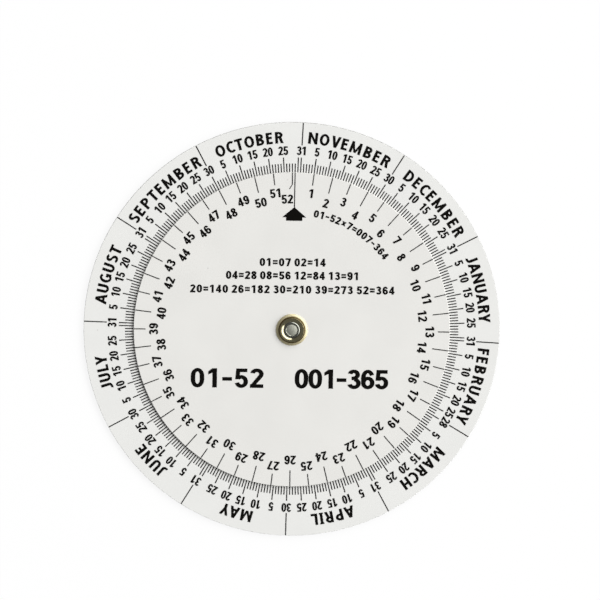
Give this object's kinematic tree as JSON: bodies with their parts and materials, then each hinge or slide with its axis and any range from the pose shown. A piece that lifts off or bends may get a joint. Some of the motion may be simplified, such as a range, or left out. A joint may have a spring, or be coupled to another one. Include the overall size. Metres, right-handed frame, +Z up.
{
  "type": "date wheel",
  "caption": "Flat date wheel: a small week dial with an arrow turns on a rivet over a larger round base dial with months and days.",
  "frame": {"origin": "on the rivet's axis, at the flat underside of the rivet's head, the lowest face of the wheel as it lies face up", "axes": "+Z up along the rivet's axis, out of the printed face; +Y from the rivet towards the week dial's arrow at rest; +X to the right of the printed face"},
  "size_m": [0.108, 0.108, 0.003],
  "materials": {
    "base_plastic": "white vinyl sheet, calendered matt, die-cut",
    "week_plastic": "white vinyl sheet, calendered matt, die-cut",
    "brass_plate": "brass-plated, drawn and rolled, slightly tarnished",
    "washer_brass": "stamped brass, slightly tarnished",
    "black_ink": "black screen-printed vinyl ink, matt"
  },
  "bodies": {
    "base": {"base_dial": "base_plastic", "rivet": "brass_plate", "clinch_washer": "washer_brass", "day_graduations": "black_ink", "month_dividers": "black_ink"},
    "dial": {"week_dial": "week_plastic", "week_graduations": "black_ink", "pointer_arrow": "black_ink"}
  },
  "joints": [
    {"name": "dial_spin", "type": "hinge", "parent": "base", "child": "dial", "pos_m": [0, 0, 0.00157], "axis": [0, 0, 1], "continuous": true}
  ]
}
